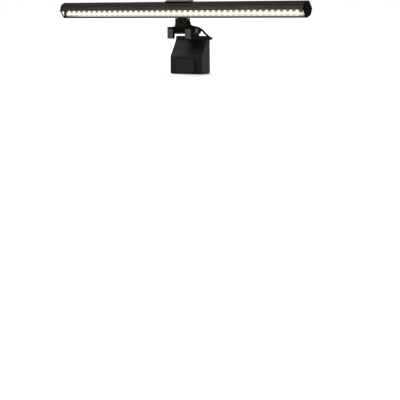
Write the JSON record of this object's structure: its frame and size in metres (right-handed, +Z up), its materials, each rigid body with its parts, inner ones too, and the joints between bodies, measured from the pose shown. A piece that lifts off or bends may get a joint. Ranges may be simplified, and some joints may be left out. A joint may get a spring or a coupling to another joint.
{
  "type": "monitor light bar",
  "caption": "Screen-top LED light bar: faceted aluminium bar on a tilting friction hinge, carried by a hooked clamp with a sprung, weighted rear leg.",
  "frame": {"origin": "middle of the clamp's seat, on the face that rests on the screen's top edge", "axes": "+X along the bar to the right seen from the user, +Y away from the user, +Z up"},
  "size_m": [0.397, 0.077, 0.1063],
  "materials": {
    "anodised": "satin dark anodised",
    "black_plastic": "fine moulded texture",
    "gloss_black": "polished",
    "die_cast": "satin black paint on die casting",
    "hook_grey": "satin grey paint",
    "silicone": "matte",
    "steel": "plain turned",
    "black_steel": "black oxide",
    "white_board": "white solder mask",
    "circuit": "green solder mask",
    "lens": "clear moulded",
    "cord_jacket": "matte jacket",
    "fabric_tie": "hook-and-loop fabric"
  },
  "bodies": {
    "clamp": {"clamp_body": "black_plastic", "seat_pad": "silicone", "tilt_bracket": "die_cast", "tilt_shaft": "black_steel", "tilt_nut": "black_steel", "tilt_washer_left": "steel", "tilt_washer_right": "steel", "bracket_screw_left": "black_steel", "bracket_screw_right": "black_steel", "front_hook_left": "hook_grey", "front_hook_right": "hook_grey", "hook_pad_left": "silicone", "hook_pad_right": "silicone", "pivot_pin": "steel", "pivot_cap": "steel", "strain_relief": "cord_jacket", "usb_cord_lead": "cord_jacket"},
    "leg": {"leg_shell": "black_plastic", "leg_cover": "black_plastic", "counterweight": "steel", "leg_pad": "silicone", "torsion_spring": "steel", "cover_screw_left": "black_steel", "cover_screw_right": "black_steel", "usb_cord_tail": "cord_jacket", "cord_coil": "cord_jacket", "usb_cord_end": "cord_jacket", "cord_tie": "fabric_tie", "usb_plug_body": "black_plastic", "usb_plug_shell": "steel"},
    "bar": {"bar_housing": "anodised", "end_cap_left": "black_plastic", "end_cap_right": "black_plastic", "led_board": "white_board", "lens_strip": "lens", "driver_board": "circuit", "inner_lead": "cord_jacket", "bar_holder": "die_cast", "touch_panel": "gloss_black", "holder_screw_left": "black_steel", "holder_screw_right": "black_steel"}
  },
  "joints": [
    {"name": "bar_tilt", "type": "hinge", "parent": "clamp", "child": "bar", "pos_m": [0, 0.0017, 0.017], "axis": [1, 0, 0], "range_deg": [-25, 30]},
    {"name": "leg_swing", "type": "hinge", "parent": "clamp", "child": "leg", "pos_m": [0, 0.006, 0.0052], "axis": [1, 0, 0], "range_deg": [0, 50], "stiffness_Nm_per_rad": 0.12, "springref_deg": -28.65, "deforming": ["torsion_spring"]}
  ]
}
